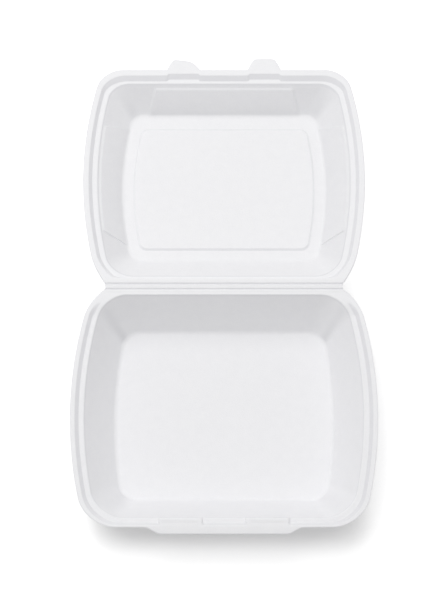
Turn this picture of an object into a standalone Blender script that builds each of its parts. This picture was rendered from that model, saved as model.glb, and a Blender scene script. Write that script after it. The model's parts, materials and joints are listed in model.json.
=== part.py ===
"""Hinged foam food container lying open: a deep tray and a shallow lid formed from one foam sheet.

The sheet has two parallel creases with a narrow strip between them, so the strip stands up behind
the tray when the lid is shut. Each half is a shell of even thickness: a flange, a step down to a
ledge, a slanting wall and a flat floor. The tray's front carries a tongue and two slits, the lid's
front two tabs. In each half, x runs along the crease from its middle, d away from the crease
towards the front edge, and z up from the flange's upper face, so cavities reach down.
"""
from math import asin, cos, pi, radians, sin, sqrt, tan

import bmesh
import bpy
from mathutils import Matrix, Vector

# Sheet, creases and the strip between them
SHEET = 0.0021
EDGE_ROUND = 0.0005
CREASE_PITCH = 0.0042
CREASE_GAP = 0.0003
AXIS_HEIGHT = 0.0002
STRIP_HEIGHT = 0.0013
CREASE_CUT_ANGLE = radians(47.5)
NECK_HALF_WIDTH = 0.0945
STRIP_END_CLEARANCE = 0.0004
LID_REST_GAP = 0.00025

# Tray, outline and rim
TRAY_HALF_WIDTH = 0.1200
TRAY_LENGTH = 0.1870
TRAY_SIDE_BOW = 0.0149
TRAY_FRONT_RADIUS = 0.0226
TRAY_BACK_RADIUS = 0.0324
TRAY_RIM_SIDE = 0.0105
TRAY_RIM_FRONT = 0.0070
TRAY_RIM_BACK = 0.0046
TRAY_STEP = 0.0024
TRAY_MOUTH_FRONT_RADIUS = 0.0200
TRAY_MOUTH_BACK_RADIUS = 0.0180

# Tray, cavity
TRAY_DEPTH = 0.0425
TRAY_WALL_SIDE = 0.0213
TRAY_WALL_FRONT = 0.0165
TRAY_WALL_BACK = 0.0221
TRAY_FLOOR_BOW = 0.0068
TRAY_FLOOR_RADIUS = 0.0125
TRAY_FILLET = 0.0030

# Tongue and slits at the tray's front
TONGUE_ROOT = 0.0610
TONGUE_TIP = 0.0487
TONGUE_REACH = 0.0052
TONGUE_DROOP = 0.0010
SLIT_CENTRE = 0.0335
SLIT_LENGTH = 0.0280
SLIT_WIDTH = 0.0010
LAND_LENGTH = 0.0320
LAND_RAMP = 0.0015

# Lid, outline and rim
LID_HALF_WIDTH = 0.1155
LID_LENGTH = 0.1926
LID_SIDE_BOW = 0.0146
LID_FRONT_RADIUS = 0.0165
LID_BACK_RADIUS = 0.0675
LID_RIM_SIDE = 0.0115
LID_RIM_FRONT = 0.0118
LID_RIM_BACK = 0.0070
LID_STEP = 0.0028
LID_MOUTH_FRONT_RADIUS = 0.0130
LID_MOUTH_BACK_RADIUS = 0.0170

# Lid, cavity and raised panels
LID_DEPTH = 0.0211
LID_WALL_SIDE = 0.0198
LID_WALL_FRONT = 0.0217
LID_WALL_BACK = 0.0200
LID_FLOOR_BOW = 0.0086
LID_FLOOR_RADIUS = 0.0085
LID_FILLET = 0.0025
PANEL_RISE = 0.0008
PANEL_EDGE = 0.0010
FRONT_PANEL_HALF_LENGTH = 0.0565
FRONT_PANEL_FOOT_HALF_LENGTH = 0.0600
SIDE_PANEL_BACK = 0.0485
SIDE_PANEL_FRONT = 0.1405
SIDE_PANEL_FOOT_BACK = 0.0405
SIDE_PANEL_FOOT_FRONT = 0.1468
FLOOR_PANEL_HALF_WIDTH = 0.0753
FLOOR_PANEL_BOW = 0.0062
FLOOR_PANEL_BACK = 0.0367
FLOOR_PANEL_FRONT = 0.1472
FLOOR_PANEL_RADIUS = 0.0060
FLOOR_PANEL_RISE = 0.0012
FLOOR_PANEL_EDGE = 0.0023

# Tabs at the lid's front
TAB_CENTRE = 0.0340
TAB_HALF_ROOT = 0.0142
TAB_HALF_TIP = 0.0103
TAB_REACH = 0.0106
LEFT_TAB_REACH = 0.0088
LEFT_TAB_SLANT = 0.0014
TAB_JOG = 0.0017
TAB_JOG_RAMP = 0.0040

# Rim lines across the rim, from the outer edge (0) to the mouth (1): flange, step, ledge
TRAY_SIDE_RIM_SHARES = (0.34, 0.63, 0.92)
TRAY_FRONT_RIM_SHARES = (0.27, 0.42, 0.92)
TRAY_BACK_RIM_SHARES = (0.56, 0.74, 0.93)
LID_SIDE_RIM_SHARES = (0.48, 0.75, 0.93)
LID_FRONT_RIM_SHARES = (0.45, 0.75, 0.93)
LID_BACK_RIM_SHARES = (0.66, 0.78, 0.93)
SLIT_MIDDLE_SHARE = 0.37
LIP_SHARE = 0.30
LEDGE_END_SHARE = 0.75
WALL_START_SHARE = 0.08

# Outline shapes as shares of the length that bows
BOW_CENTRE_SHARE = 0.52
BOW_REACH_SHARE = 0.508

# Points along a quarter loop
BACK_SHARES = (0, 0.25, 0.5, 0.7, 0.88, 0.95)
INNER_START_ANGLE = radians(35)
CORNER_SHARES = (0, 0.125, 0.25, 0.375, 0.5, 0.625, 0.75, 0.875)
TRAY_SIDE_SHARES = (0, 0.1, 0.2, 0.3, 0.4, 0.5, 0.6, 0.7, 0.8, 0.9)
TAB_SHARES = (0, 0.6, 0.82, 0.9, 0.95, 0.98, 1)
TAB_SQUARENESS = 12
FILLET_SHARES = (0, 0.33, 0.67, 1)
TRAY_MOUTH_RING = 5
LID_MOUTH_RING = 3
DROOP_STEPS = 40
WALL_PANEL_TOP_SHARE = 0.10
STEP_FADE_SHARES = (0.35, 1)

# Colour and finish of the foam
FOAM_COLOR = (0.93, 0.93, 0.925, 1.0)
FOAM_ROUGHNESS = 0.6


def mix(a, b, share):
    return a + (b - a) * share


def ramp(value, low, high):
    """0 below low, 1 above high, straight between."""
    return min(max((value - low) / (high - low), 0), 1)


class Outline:
    """A rounded rectangle in x and d whose long sides bow outwards, given by one quarter.

    bowing holds where the bow begins and ends along d.
    """

    def __init__(self, half_width, bow, bowing, back, front, back_radius, front_radius):
        self.straight = half_width - bow
        self.bow = bow
        self.bow_centre = mix(*bowing, BOW_CENTRE_SHARE)
        self.bow_reach = (bowing[1] - bowing[0]) * BOW_REACH_SHARE
        self.back, self.front = back, front
        self.back_radius, self.front_radius = back_radius, front_radius

    def bowed(self, x, d):
        lean = (d - self.bow_centre) / self.bow_reach
        return Vector((x + self.bow * (1 - lean ** 2) * (x / self.straight) ** 2, d))

    def corner_point(self, radius, line, inward, angle):
        d = line + inward * radius * (1 - cos(angle))
        return self.bowed(self.straight - radius + radius * sin(angle), d)

    def back_point(self, share, angle):
        """A point at the back, cut off by the crease, at a share of the way to the corner."""
        corner_start = self.straight - self.back_radius
        x = share * (corner_start + self.back_radius * sin(angle))
        over = max(x - corner_start, 0)
        d = self.back + self.back_radius - sqrt(self.back_radius ** 2 - over ** 2)
        return self.bowed(x, max(d, 0))

    def quarter(self, side_shares, front_stations, crease_angle=INNER_START_ANGLE):
        """Points from the crease's middle round the side to the front's middle."""
        points = [self.back_point(share, crease_angle) for share in BACK_SHARES]
        for share in CORNER_SHARES:
            angle = mix(crease_angle, pi / 2, share)
            points.append(self.corner_point(self.back_radius, self.back, 1, angle))
        side_back = self.back + self.back_radius
        side_front = self.front - self.front_radius
        for share in side_shares:
            points.append(self.bowed(self.straight, mix(side_back, side_front, share)))
        for share in CORNER_SHARES:
            angle = pi / 2 * (1 - share)
            points.append(self.corner_point(self.front_radius, self.front, -1, angle))
        front_end = self.straight - self.front_radius
        for station in front_stations:
            points.append(self.bowed(station(front_end), self.front))
        return points


class Half:
    """What the loops of one half share: how many points, and where each zone begins."""

    def __init__(self, side_shares, front_stations):
        self.side_shares = side_shares
        self.front_stations = front_stations
        self.corner_back = len(BACK_SHARES)
        self.side = self.corner_back + len(CORNER_SHARES)
        self.corner_front = self.side + len(side_shares)
        self.front = self.corner_front + len(CORNER_SHARES)
        self.last = self.front + len(front_stations) - 1

    def loop(self, outline, crease_angle=INNER_START_ANGLE):
        quarter = outline.quarter(self.side_shares, self.front_stations, crease_angle)
        return self.mirrored(quarter)

    def mirrored(self, quarter):
        left = [Vector((-point.x, point.y)) for point in quarter[1:-1]]
        return quarter + left[::-1]

    def quarter_index(self, i):
        return i if i <= self.last else 2 * self.last - i

    def zones(self, i):
        """Weights of the back, side and front rims at a point."""
        q = self.quarter_index(i)
        to_side = ramp(q, self.corner_back, self.side)
        to_front = ramp(q, self.corner_front, self.front)
        return 1 - to_side, to_side * (1 - to_front), to_front


def inset(loop, distance):
    """Move each point of a loop inwards, square to the loop."""
    moved = []
    count = len(loop)
    for i, point in enumerate(loop):
        along = (loop[(i + 1) % count] - loop[i - 1]).normalized()
        moved.append(point + Vector((-along.y, along.x)) * distance)
    return moved


def across(outer, inner, shares):
    """A loop between two others, at its own share for each point."""
    return [a.lerp(b, share) for a, b, share in zip(outer, inner, shares)]


def lifted(loop, heights):
    return [Vector((point.x, point.y, height)) for point, height in zip(loop, heights)]


def rim_shares(half, line, back, side, front):
    """The share of one rim line at every point, blended round the corners."""
    shares = []
    for i in range(2 * half.last):
        at_back, at_side, at_front = half.zones(i)
        shares.append(at_back * back[line] + at_side * side[line] + at_front * front[line])
    return shares


def fillet_loops(wall_top, corner, centre_side, radius):
    """Loops that round the foot of a wall: from the wall, past the corner line, to the floor."""
    loops = [[] for share in FILLET_SHARES]
    for top, foot, inside in zip(wall_top, corner, centre_side):
        start = foot + (top - foot).normalized() * radius
        end = foot + (inside - foot).normalized() * radius
        for loop, share in zip(loops, FILLET_SHARES):
            loop.append(start.lerp(foot, share).lerp(foot.lerp(end, share), share))
    return loops


def face_normal(a, b, c, d):
    normal = (c - a).cross(d - b)
    return normal.normalized() if normal.length > 0 else Vector((0, 0, 1))


def underside(loops):
    """The lower face of the sheet: every point of the upper face moved by the sheet's thickness."""
    count = len(loops[0])
    lower = []
    for k, loop in enumerate(loops):
        moved = []
        for i, point in enumerate(loop):
            normals = []
            for a, b in ((k - 1, k), (k, k + 1)):
                if a < 0 or b >= len(loops):
                    continue
                for j in (i - 1, i):
                    low, high = loops[a], loops[b]
                    n = (j + 1) % count
                    normals.append(face_normal(low[j], low[n], high[n], high[j]))
            if len(normals) == 2:
                normals.append(Vector((0, 0, 1)) * 2)
            mean = sum(normals, Vector()).normalized()
            slant = min(mean.dot(normal.normalized()) for normal in normals)
            moved.append(point - mean * (SHEET / max(slant, 0.6)))
        lower.append(moved)
    return lower


def evened(half, edge_low, lower, mouth):
    """Keep the underside's rim points apart: below the mouth's soft edge, and at the crease."""
    for outside, edge, inside in zip(lower[mouth - 2], lower[mouth - 1], lower[mouth]):
        edge.xyz = outside.lerp(inside, LEDGE_END_SHARE)
    for k in range(mouth):
        share = (k + 1) / (mouth + 1)
        for i, point in enumerate(lower[k]):
            even = edge_low[i].lerp(lower[mouth][i], share)
            lower[k][i] = point.lerp(even, half.zones(i)[0])
    return lower


def outer_edge(half, plain, shaped, edge_drop):
    """The sheet's cut edge, rounded, and cut to a V along the crease.

    Returns the lower, middle and upper loops. plain is the outline at the crease, shaped the
    outline with the tongue or tabs, and edge_drop lowers the points of a drooping tongue.
    """
    setback = CREASE_GAP / 2 + (SHEET - AXIS_HEIGHT) * tan(CREASE_CUT_ANGLE)
    soft = inset(shaped, EDGE_ROUND)
    lower, middle, upper = [], [], []
    for i, point in enumerate(shaped):
        if half.quarter_index(i) <= half.corner_back:
            x = plain[i].x
            lower.append(Vector((x, CREASE_GAP / 2, -SHEET)))
            middle.append(Vector((x, CREASE_GAP / 2, AXIS_HEIGHT - SHEET)))
            upper.append(Vector((x, setback, 0)))
        else:
            drop = edge_drop[i]
            lower.append(Vector((*soft[i], -SHEET - drop)))
            middle.append(Vector((*point, -SHEET / 2 - drop)))
            upper.append(Vector((*soft[i], -drop)))
    return lower, middle, upper


def shell(name, edge, upper, lower, slit_cells=(), slit_line=None):
    """Close the upper and lower faces round the edge, and cut the slits through both."""
    rings = lower[::-1] + list(edge) + upper
    mesh = bmesh.new()
    made = [[mesh.verts.new(point) for point in ring] for ring in rings]
    count = len(made[0])
    top_slit = len(lower) + len(edge) + slit_line if slit_line is not None else None
    low_slit = len(lower) - slit_line - 2 if slit_line is not None else None
    for k in range(len(made) - 1):
        for i in range(count):
            if k in (top_slit, low_slit) and i in slit_cells:
                continue
            n = (i + 1) % count
            mesh.faces.new((made[k][i], made[k][n], made[k + 1][n], made[k + 1][i]))
    mesh.faces.new(made[0])
    mesh.faces.new(made[-1])
    if slit_cells:
        slit_walls(mesh, made, slit_cells, top_slit, low_slit)
    bmesh.ops.recalc_face_normals(mesh, faces=mesh.faces)
    return finished(name, mesh)


def slit_walls(mesh, made, cells, top, low):
    """Walls through the sheet round each slit. The two faces number their rings oppositely."""
    count = len(made[0])
    for i in cells:
        n = (i + 1) % count
        for upper_ring, lower_ring in ((top, low + 1), (top + 1, low)):
            mesh.faces.new((made[upper_ring][i], made[upper_ring][n],
                            made[lower_ring][n], made[lower_ring][i]))
        for end, beyond in ((i, i - 1), (n, n)):
            if beyond % count not in cells:
                mesh.faces.new((made[top][end], made[top + 1][end],
                                made[low][end], made[low + 1][end]))


def finished(name, mesh):
    data = bpy.data.meshes.new(name)
    mesh.to_mesh(data)
    mesh.free()
    data.shade_smooth()
    data.set_sharp_from_angle(angle=radians(40))
    data.materials.append(foam_material())
    obj = bpy.data.objects.new(name, data)
    bpy.context.scene.collection.objects.link(obj)
    return obj


def foam_material():
    name = "white_foam"
    if name in bpy.data.materials:
        return bpy.data.materials[name]
    material = bpy.data.materials.new(name)
    material.use_nodes = True
    shader = material.node_tree.nodes["Principled BSDF"]
    shader.inputs["Base Color"].default_value = FOAM_COLOR
    shader.inputs["Roughness"].default_value = FOAM_ROUGHNESS
    shader.inputs["Metallic"].default_value = 0
    return material


def crease_start(outline_back_radius, straight, bow, bow_drop):
    """The angle at which a half's back corner meets the crease, at the neck."""
    along = NECK_HALF_WIDTH + bow * bow_drop - straight + outline_back_radius
    return asin(min(along / outline_back_radius, 1))


def outer_outline(half_width, bow, length, back_radius, front_radius):
    """The half's outer outline, whose back corner is cut by the crease at the neck."""
    bow_drop = (BOW_CENTRE_SHARE / BOW_REACH_SHARE) ** 2 - 1
    angle = crease_start(back_radius, half_width - bow, bow, bow_drop)
    back = -back_radius * (1 - cos(angle))
    outline = Outline(half_width, bow, (0, length), back, length, back_radius, front_radius)
    return outline, angle


def absolute(x):
    return lambda front_end: x


def scaled(x, rim_end):
    return lambda front_end: x * front_end / rim_end


def at_foot(x, rim_end):
    """Where a point of the lid's front lies at the wall's foot, where the panel is longer."""
    if x <= FRONT_PANEL_HALF_LENGTH:
        return absolute(x * FRONT_PANEL_FOOT_HALF_LENGTH / FRONT_PANEL_HALF_LENGTH)
    share = (x - FRONT_PANEL_HALF_LENGTH) / (rim_end - FRONT_PANEL_HALF_LENGTH)
    return lambda front_end: mix(FRONT_PANEL_FOOT_HALF_LENGTH, front_end, share)


def tray_stations():
    """Where the tray's front loops have points, from the corner to the middle."""
    land_in = SLIT_CENTRE - LAND_LENGTH / 2
    land_out = SLIT_CENTRE + LAND_LENGTH / 2
    slit_in = SLIT_CENTRE - SLIT_LENGTH / 2
    slit_out = SLIT_CENTRE + SLIT_LENGTH / 2
    places = [0, land_in / 2, land_in - LAND_RAMP, land_in, slit_in, SLIT_CENTRE, slit_out,
              land_out, land_out + LAND_RAMP, mix(TONGUE_TIP, TONGUE_ROOT, 0.5), TONGUE_ROOT]
    return sorted(places, reverse=True)


def lid_stations():
    """Where the lid's front loops have points, from the corner to the middle."""
    places = [0, (TAB_CENTRE - TAB_HALF_ROOT) / 2, FRONT_PANEL_HALF_LENGTH,
              FRONT_PANEL_HALF_LENGTH + PANEL_EDGE]
    places += [TAB_CENTRE + TAB_HALF_ROOT * share for share in TAB_SHARES]
    places += [TAB_CENTRE - TAB_HALF_ROOT * share for share in TAB_SHARES[1:]]
    return sorted(places, reverse=True)


def lid_side_shares(outline, panel_back, panel_front):
    """Points along the lid's sides, close together where the side panels end."""
    low = outline.back + outline.back_radius
    high = outline.front - outline.front_radius
    places = [panel_back - PANEL_EDGE, panel_back, panel_front, panel_front + PANEL_EDGE]
    shares = [(place - low) / (high - low) for place in places]
    shares += [mix(shares[1], shares[2], share) for share in (0.2, 0.4, 0.6, 0.8)]
    return tuple(sorted([0, *shares]))


def rest_droop(lid_points):
    """How far the lid hangs below level, held by its crease just clear of the table."""
    low, high = 0, pi / 8
    for _ in range(DROOP_STEPS):
        droop = (low + high) / 2
        crease_height = TRAY_DEPTH + AXIS_HEIGHT - CREASE_PITCH * sin(droop / 2)
        lowest = min(point.z * cos(droop) - point.y * sin(droop) for point in lid_points)
        if crease_height + lowest > LID_REST_GAP:
            low = droop
        else:
            high = droop
    return low


def on_land(x):
    """1 on a slit's flat land at the tray's front, 0 on the ledge, sloping between."""
    away = abs(abs(x) - SLIT_CENTRE) - LAND_LENGTH / 2
    return 1 - ramp(away, 0, LAND_RAMP)


def with_tongue(half, loop):
    """Move the front edge out to the tongue. Also returns how far each point droops."""
    shaped, drop = [], []
    for i, point in enumerate(loop):
        at_front = half.quarter_index(i) >= half.front
        share = 1 - ramp(abs(point.x), TONGUE_TIP, TONGUE_ROOT) if at_front else 0
        shaped.append(point + Vector((0, TONGUE_REACH * share)))
        drop.append(TONGUE_DROOP * share)
    return shaped, drop


def with_tabs(half, loop):
    """Move the front edge out to the two tabs, the left one cut at a slant."""
    shaped = []
    for i, point in enumerate(loop):
        across_tab = (abs(point.x) - TAB_CENTRE) / TAB_HALF_ROOT
        if half.quarter_index(i) < half.front or abs(across_tab) > 1:
            shaped.append(point.copy())
            continue
        side = 1 if point.x > 0 else -1
        reach = TAB_REACH if side > 0 else LEFT_TAB_REACH + LEFT_TAB_SLANT * across_tab
        share = 1 - abs(across_tab) ** TAB_SQUARENESS
        half_width = mix(TAB_HALF_ROOT, TAB_HALF_TIP, share)
        x = side * (TAB_CENTRE + half_width * across_tab)
        shaped.append(Vector((x, point.y + reach * share)))
    return shaped


def tray():
    outline, angle = outer_outline(TRAY_HALF_WIDTH, TRAY_SIDE_BOW, TRAY_LENGTH,
                                   TRAY_BACK_RADIUS, TRAY_FRONT_RADIUS)
    mouth_end = (TRAY_HALF_WIDTH - TRAY_RIM_SIDE - TRAY_SIDE_BOW) - TRAY_MOUTH_FRONT_RADIUS
    stations = tray_stations()
    rim_half = Half(TRAY_SIDE_SHARES, [absolute(x) for x in stations])
    deep_half = Half(TRAY_SIDE_SHARES, [scaled(x, mouth_end) for x in stations])
    outer = rim_half.loop(outline, angle)
    mouth_width = TRAY_HALF_WIDTH - TRAY_RIM_SIDE
    mouth_front = TRAY_LENGTH - TRAY_RIM_FRONT
    mouth = rim_half.loop(Outline(mouth_width, TRAY_SIDE_BOW, (0, TRAY_LENGTH),
                                  TRAY_RIM_BACK, mouth_front, TRAY_MOUTH_BACK_RADIUS,
                                  TRAY_MOUTH_FRONT_RADIUS))
    floor_width = mouth_width - TRAY_WALL_SIDE
    floor_back = TRAY_RIM_BACK + TRAY_WALL_BACK
    floor_front = mouth_front - TRAY_WALL_FRONT
    foot = deep_half.loop(Outline(floor_width, TRAY_FLOOR_BOW, (floor_back, floor_front),
                                  floor_back, floor_front, TRAY_FLOOR_RADIUS,
                                  TRAY_FLOOR_RADIUS))
    upper, slit_line = tray_upper(rim_half, outer, mouth, foot)
    shaped, drop = with_tongue(rim_half, outer)
    edge = outer_edge(rim_half, outer, shaped, drop)
    reach = SLIT_LENGTH / 2
    cells = [i for i in range(2 * rim_half.last)
             if half_cell_inside(rim_half, mouth, i, SLIT_CENTRE, reach)]
    lower = evened(rim_half, edge[0], underside([edge[2]] + upper)[1:], TRAY_MOUTH_RING)
    return shell("tray", edge, upper, lower, set(cells), slit_line), (floor_back + floor_front) / 2


def half_cell_inside(half, loop, i, centre, reach):
    """Whether the cell after point i lies within reach of a centre on either side."""
    n = (i + 1) % len(loop)
    if min(half.quarter_index(i), half.quarter_index(n)) < half.front:
        return False
    middle = abs(loop[i].x + loop[n].x) / 2
    return abs(middle - centre) < reach


def tray_upper(half, outer, mouth, foot):
    """The tray's upper face from the flange inwards to the floor, and the slit's ring."""
    plain_step, step = tray_step_shares(half, mouth)
    sunk = [-TRAY_STEP * share for share in step]
    level = [0] * len(outer)
    lines = [rim_shares(half, line, TRAY_BACK_RIM_SHARES, TRAY_SIDE_RIM_SHARES,
                        TRAY_FRONT_RIM_SHARES) for line in range(3)]
    slit_half = SLIT_WIDTH / TRAY_RIM_FRONT / 2
    slit = [[mix(a, b, SLIT_MIDDLE_SHARE) + shift for a, b in zip(lines[1], lines[2])]
            for shift in (-slit_half, slit_half)]
    rings = [lifted(across(outer, mouth, lines[0]), level),
             lifted(across(outer, mouth, lines[1]), sunk),
             lifted(across(outer, mouth, slit[0]), sunk),
             lifted(across(outer, mouth, slit[1]), sunk),
             lifted(across(outer, mouth, lines[2]), sunk)]
    wall_top = lifted(mouth, [-TRAY_STEP * (share + LIP_SHARE) for share in plain_step])
    corner = lifted(foot, [-TRAY_DEPTH] * len(foot))
    inside = lifted(inset(foot, TRAY_FILLET * 2), [-TRAY_DEPTH] * len(foot))
    rings.append(lifted(mouth, [z - TRAY_STEP * LIP_SHARE for z in sunk]))
    rings.append([top.lerp(foot, WALL_START_SHARE) for top, foot in zip(wall_top, corner)])
    rings += fillet_loops(wall_top, corner, inside, TRAY_FILLET)
    return rings, 2


def tray_step_shares(half, loop):
    """How much of the step each point of the tray's rim has: none at the back.

    Returns the shares without the two slits' lands, and with them.
    """
    plain, cut = [], []
    low, high = STEP_FADE_SHARES
    for i, point in enumerate(loop):
        q = half.quarter_index(i)
        share = ramp((q - half.corner_back) / (half.side - half.corner_back), low, high)
        plain.append(share)
        cut.append(share * (1 - on_land(point.x)) if q >= half.front else share)
    return plain, cut


def lid():
    outline, angle = outer_outline(LID_HALF_WIDTH, LID_SIDE_BOW, LID_LENGTH,
                                   LID_BACK_RADIUS, LID_FRONT_RADIUS)
    mouth_width = LID_HALF_WIDTH - LID_RIM_SIDE
    mouth_front = LID_LENGTH - LID_RIM_FRONT
    mouth_outline = Outline(mouth_width, LID_SIDE_BOW, (0, LID_LENGTH), LID_RIM_BACK,
                            mouth_front, LID_MOUTH_BACK_RADIUS, LID_MOUTH_FRONT_RADIUS)
    mouth_end = mouth_outline.straight - LID_MOUTH_FRONT_RADIUS
    floor_back = LID_RIM_BACK + LID_WALL_BACK
    floor_front = mouth_front - LID_WALL_FRONT
    foot_outline = Outline(mouth_width - LID_WALL_SIDE, LID_FLOOR_BOW,
                           (floor_back, floor_front), floor_back, floor_front,
                           LID_FLOOR_RADIUS, LID_FLOOR_RADIUS)
    panel = Outline(FLOOR_PANEL_HALF_WIDTH, FLOOR_PANEL_BOW,
                    (FLOOR_PANEL_BACK, FLOOR_PANEL_FRONT), FLOOR_PANEL_BACK,
                    FLOOR_PANEL_FRONT, FLOOR_PANEL_RADIUS, FLOOR_PANEL_RADIUS)
    stations = lid_stations()
    rim_half = Half(lid_side_shares(mouth_outline, SIDE_PANEL_BACK, SIDE_PANEL_FRONT),
                    [absolute(x) for x in stations])
    foot_half = Half(lid_side_shares(foot_outline, SIDE_PANEL_FOOT_BACK,
                                     SIDE_PANEL_FOOT_FRONT),
                     [at_foot(x, mouth_end) for x in stations])
    outer = rim_half.loop(outline, angle)
    mouth = rim_half.loop(mouth_outline)
    upper = lid_upper(rim_half, outer, mouth, foot_half.loop(foot_outline),
                      foot_half.loop(panel))
    shaped = with_tabs(rim_half, outer)
    edge = outer_edge(rim_half, outer, shaped, [0] * len(shaped))
    lower = evened(rim_half, edge[0], underside([edge[2]] + upper)[1:], LID_MOUTH_RING)
    return shell("lid", edge, upper, lower)


def tab_jog(half, loop, i):
    """How far the rim lines shift outwards under a tab."""
    if half.quarter_index(i) < half.front:
        return 0
    away = abs(abs(loop[i].x) - TAB_CENTRE)
    return TAB_JOG * (1 - ramp(away, TAB_HALF_ROOT - TAB_JOG_RAMP, TAB_HALF_ROOT))


def wall_panel_share(half, loop, i):
    """1 where the lid's wall carries a raised panel, at its front and sides."""
    q = half.quarter_index(i)
    if q >= half.front:
        return 1 - ramp(abs(loop[i].x), FRONT_PANEL_HALF_LENGTH,
                        FRONT_PANEL_HALF_LENGTH + PANEL_EDGE)
    if half.side <= q <= half.corner_front:
        d = loop[i].y
        return (ramp(d, SIDE_PANEL_BACK - PANEL_EDGE, SIDE_PANEL_BACK)
                * (1 - ramp(d, SIDE_PANEL_FRONT, SIDE_PANEL_FRONT + PANEL_EDGE)))
    return 0


def lid_upper(half, outer, mouth, foot, panel):
    """The lid's upper face from the flange inwards to the raised floor panel."""
    count = len(outer)
    rings = []
    for line, height in enumerate((0, -LID_STEP, -LID_STEP)):
        shares = rim_shares(half, line, LID_BACK_RIM_SHARES, LID_SIDE_RIM_SHARES,
                            LID_FRONT_RIM_SHARES)
        loop = across(outer, mouth, shares)
        if line < 2:
            loop = [point + Vector((0, tab_jog(half, mouth, i))) for i, point in enumerate(loop)]
        rings.append(lifted(loop, [height] * count))
    wall_top = lifted(mouth, [-LID_STEP * (1 + LIP_SHARE)] * count)
    corner = lifted(foot, [-LID_DEPTH] * count)
    rings.append(wall_top)
    rings += wall_panel_loops(half, mouth, wall_top, corner)
    inside = lifted(inset(foot, LID_FILLET * 2), [-LID_DEPTH] * count)
    rings += fillet_loops(rings[-1], corner, inside, LID_FILLET)
    rings.append(lifted(panel, [-LID_DEPTH] * count))
    rings.append(lifted(inset(panel, FLOOR_PANEL_EDGE), [FLOOR_PANEL_RISE - LID_DEPTH] * count))
    return rings


def wall_panel_loops(half, mouth, wall_top, corner):
    """Two loops down the wall: the panel's top line, and the panel's face just below it."""
    line, face = [], []
    count = len(mouth)
    for i, (top, foot) in enumerate(zip(wall_top, corner)):
        along = wall_top[(i + 1) % count] - wall_top[i - 1]
        outward = (foot - top).cross(along).normalized()
        rise = PANEL_RISE * wall_panel_share(half, mouth, i)
        share = PANEL_EDGE / (foot - top).length
        line.append(top.lerp(foot, WALL_PANEL_TOP_SHARE))
        face.append(top.lerp(foot, WALL_PANEL_TOP_SHARE + share) + outward * rise)
    return [line, face]


def hinge_strip():
    """The low ridge between the two creases, its ends in line with the necks."""
    half_width = NECK_HALF_WIDTH - STRIP_END_CLEARANCE
    slope = (STRIP_HEIGHT - AXIS_HEIGHT) * tan(CREASE_CUT_ANGLE)
    near, far = CREASE_GAP / 2, CREASE_PITCH - CREASE_GAP / 2
    profile = [(near, 0), (near, AXIS_HEIGHT), (near + slope, STRIP_HEIGHT),
               (far - slope, STRIP_HEIGHT), (far, AXIS_HEIGHT), (far, 0)]
    mesh = bmesh.new()
    ends = [[mesh.verts.new((x, y, z - AXIS_HEIGHT)) for y, z in profile]
            for x in (-half_width, half_width)]
    mesh.faces.new(ends[0])
    mesh.faces.new(ends[1])
    for i in range(len(profile)):
        n = (i + 1) % len(profile)
        mesh.faces.new((ends[0][i], ends[0][n], ends[1][n], ends[1][i]))
    bmesh.ops.recalc_face_normals(mesh, faces=mesh.faces)
    return finished("hinge_strip", mesh)


def place(tray_obj, strip_obj, lid_obj, floor_centre):
    """Stand the tray on its floor at the origin, and hang strip and lid from their creases."""
    flange_height = TRAY_DEPTH + SHEET
    tray_obj.data.transform(Matrix.Translation((0, floor_centre, flange_height)) @ mirror_d())
    tray_obj.data.flip_normals()
    lid_obj.data.transform(Matrix.Translation((0, 0, SHEET - AXIS_HEIGHT)))
    droop = rest_droop([vertex.co for vertex in lid_obj.data.vertices])
    strip_obj.location = (0, floor_centre, TRAY_DEPTH + AXIS_HEIGHT)
    strip_obj.rotation_euler = (-droop / 2, 0, 0)
    lid_obj.parent = strip_obj
    lid_obj.location = (0, CREASE_PITCH, 0)
    lid_obj.rotation_euler = (-droop / 2, 0, 0)


def mirror_d():
    """Turn a half's own axes, in which d runs forward, into the tray's, whose front is at -Y."""
    return Matrix.Scale(-1, 4, (0, 1, 0))


def build():
    for obj in list(bpy.data.objects):
        bpy.data.objects.remove(obj)
    tray_obj, floor_centre = tray()
    place(tray_obj, hinge_strip(), lid(), floor_centre)


build()
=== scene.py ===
"""Looks of an open foam food container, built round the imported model.

The tray and the lid are fine shells of the same foam sheet, which two soft folds join over the
strip between them. In each half, x runs along the crease from its middle, d away from the
crease towards the front edge, and z up from the flange's upper face, so cavities reach down.
Lengths are in metres.
"""

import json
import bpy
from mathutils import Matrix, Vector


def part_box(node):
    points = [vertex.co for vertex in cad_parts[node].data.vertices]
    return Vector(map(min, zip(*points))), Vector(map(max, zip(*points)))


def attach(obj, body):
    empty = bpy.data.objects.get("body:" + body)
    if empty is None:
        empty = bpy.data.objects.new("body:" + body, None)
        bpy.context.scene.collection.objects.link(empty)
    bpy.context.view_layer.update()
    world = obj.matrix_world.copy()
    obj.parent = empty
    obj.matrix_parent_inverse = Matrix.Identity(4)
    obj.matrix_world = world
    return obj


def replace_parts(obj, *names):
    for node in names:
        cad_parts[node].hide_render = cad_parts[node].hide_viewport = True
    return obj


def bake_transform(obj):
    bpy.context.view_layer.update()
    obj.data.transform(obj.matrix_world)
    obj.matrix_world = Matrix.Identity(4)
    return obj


bl_info = {
    "name": "Foam Container Looks",
    "version": (1, 0, 0),
    "blender": (4, 5, 0),
    "location": "View3D > Sidebar > Foam Box",
    "description": "Builds the foam shells, folds, material and studio of an open food container",
    "category": "Object",
}

from math import acos, asin, atan2, cos, pi, radians, sin

import bmesh
import bpy
import numpy as np
from bpy.props import FloatProperty, FloatVectorProperty, PointerProperty
from bpy.types import Operator, Panel, PropertyGroup
from mathutils import Matrix, Vector

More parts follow.
